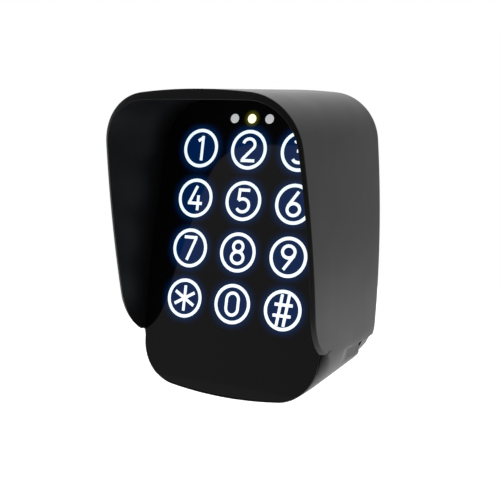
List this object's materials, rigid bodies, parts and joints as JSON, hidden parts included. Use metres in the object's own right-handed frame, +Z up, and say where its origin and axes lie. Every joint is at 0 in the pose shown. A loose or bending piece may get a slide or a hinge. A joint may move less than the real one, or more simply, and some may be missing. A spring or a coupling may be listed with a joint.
{
  "type": "keypad access reader",
  "caption": "Hooded backlit touch keypad in a deep rounded housing with indicator lights, hooked on a wall bracket and locked by a screw.",
  "frame": {"origin": "middle of the wall face: centre of the housing's width and height on the plane of the wall", "axes": "-Y out of the wall towards the user, +Z up, +X to the user's right"},
  "size_m": [0.0704, 0.0674, 0.0984],
  "materials": {
    "housing_plastic": "black ABS with a fine moulded grain",
    "bracket_plastic": "black ABS, plain moulded",
    "panel_gloss": "black gloss acrylic, printed from behind",
    "key_light": "clear light window, lit icy white",
    "indicator_white": "milky lens",
    "indicator_lit": "milky lens, lit pale yellow",
    "diffuser_white": "white reflective polycarbonate",
    "seal_rubber": "soft seal",
    "film": "clear polyester film with printed electrodes",
    "circuit_board": "green solder mask over glass epoxy",
    "chip_black": "moulded epoxy",
    "led_body": "phosphor-filled silicone",
    "coil_copper": "enamelled copper wire",
    "shield_tin": "tinned steel can",
    "screw_steel": "zinc plated",
    "spring_steel": "nickel plated wire",
    "connector_ivory": "nylon",
    "ribbon_grey": "flat ribbon",
    "plunger_red": "acetal",
    "cell_jacket": "plain printed jacket",
    "tray_black": "black nylon"
  },
  "bodies": {
    "wall_side": {"wall_gasket": "seal_rubber", "wall_bracket": "bracket_plastic"},
    "reader": {"front_housing": "housing_plastic", "touch_panel": "panel_gloss", "panel_gasket": "seal_rubber", "touch_film": "film", "key_windows": "key_light", "key_diffuser": "diffuser_white", "indicator_lens_left": "indicator_white", "indicator_lens_middle": "indicator_lit", "indicator_lens_right": "indicator_white", "touch_board": "circuit_board", "key_leds": "led_body", "indicator_leds": "led_body", "touch_controller": "chip_black", "reader_coil": "coil_copper", "touch_board_screws": "screw_steel", "ribbon_cable": "ribbon_grey", "ribbon_socket_front": "connector_ivory", "ribbon_socket_rear": "connector_ivory", "main_board": "circuit_board", "processor": "chip_black", "radio_module": "shield_tin", "radio_antenna": "spring_steel", "buzzer": "chip_black", "main_board_screws": "screw_steel", "tamper_switch": "chip_black", "tamper_spring": "spring_steel", "back_cover": "bracket_plastic", "cover_seal": "seal_rubber", "cover_screws": "screw_steel", "hinge_pins": "screw_steel", "battery_tray": "tray_black", "battery_upper": "cell_jacket", "battery_middle": "cell_jacket", "battery_lower": "cell_jacket", "battery_springs": "spring_steel", "battery_plates": "spring_steel", "battery_terminals": "spring_steel", "battery_lid": "tray_black"},
    "tamper_plunger": {"tamper_plunger": "plunger_red"},
    "lock_ring": {"lock_ring": "screw_steel"},
    "lock_screw": {"lock_screw": "screw_steel"}
  },
  "joints": [
    {"name": "reader_swing", "type": "hinge", "parent": "wall_side", "child": "reader", "pos_m": [0, -0.0062, 0.0435], "axis": [-1, 0, 0], "range_deg": [0, 20]},
    {"name": "tamper_press", "type": "slide", "parent": "reader", "child": "tamper_plunger", "axis": [0, -1, 0], "range_m": [0, 0.001], "stiffness_N_per_m": 200, "springref_m": -0.001, "deforming": ["tamper_spring"]},
    {"name": "lock_travel", "type": "slide", "parent": "reader", "child": "lock_ring", "axis": [0, 0, 1], "range_m": [0, 0.0024]},
    {"name": "lock_turn", "type": "hinge", "parent": "lock_ring", "child": "lock_screw", "pos_m": [0, -0.0134, -0.045], "axis": [0, 0, 1], "range_deg": [0, 1728]}
  ],
  "couplings": [
    {"joint": "lock_turn", "follows": "lock_travel", "rad_per_m": 12566}
  ]
}
